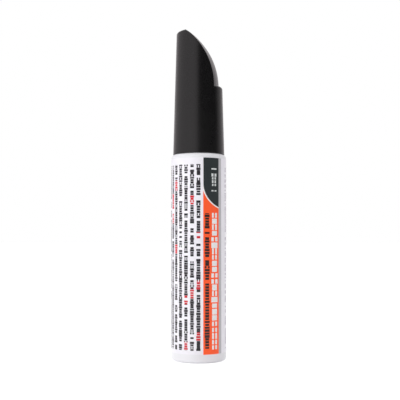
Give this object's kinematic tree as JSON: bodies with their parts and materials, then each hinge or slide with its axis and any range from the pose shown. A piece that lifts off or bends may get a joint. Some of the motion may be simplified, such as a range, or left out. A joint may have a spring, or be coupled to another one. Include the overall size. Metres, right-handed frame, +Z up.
{
  "type": "touch-up paint marker",
  "caption": "Upright valve-action touch-up paint marker with a white cylindrical barrel, wrap-around label and a tall black cap scooped on one side to a flat tip.",
  "frame": {"origin": "centre of the base, on the surface that the marker stands on", "axes": "+Z up along the marker's axis towards the cap's tip; +X towards the cap's scooped side"},
  "size_m": [0.018, 0.018, 0.1068],
  "materials": {
    "barrel_white": "satin white moulded plastic",
    "label_print": "white film with printed fields of orange, dark grey-green and small grey bars",
    "ball_steel": "polished steel",
    "gasket_foam": "grey closed-cell foam",
    "holder_plastic": "satin off-white moulded plastic",
    "seat_rubber": "black rubber",
    "housing_plastic": "natural moulded plastic",
    "spring_steel": "drawn steel wire",
    "plunger_plastic": "natural moulded plastic",
    "nib_felt": "pressed off-white fibre",
    "inner_cap_soft": "soft natural polythene",
    "cap_black": "fine satin black moulded plastic"
  },
  "bodies": {
    "marker": {"barrel": "barrel_white", "label": "label_print", "mixing_ball_1": "ball_steel", "mixing_ball_2": "ball_steel", "neck_gasket": "gasket_foam", "front_section": "holder_plastic", "valve_seat": "seat_rubber", "valve_housing": "housing_plastic", "valve_spring": "spring_steel"},
    "writing_tip": {"nib": "nib_felt", "valve_plunger": "plunger_plastic"},
    "cap": {"cap_shell": "cap_black", "inner_cap": "inner_cap_soft"}
  },
  "joints": [
    {"name": "cap_pull", "type": "slide", "parent": "marker", "child": "cap", "axis": [0, 0, 1], "range_m": [0, 0.03]},
    {"name": "nib_press", "type": "slide", "parent": "marker", "child": "writing_tip", "axis": [0, 0, -1], "range_m": [0, 0.002], "stiffness_N_per_m": 300, "springref_m": -0.003, "deforming": ["valve_spring"]}
  ]
}
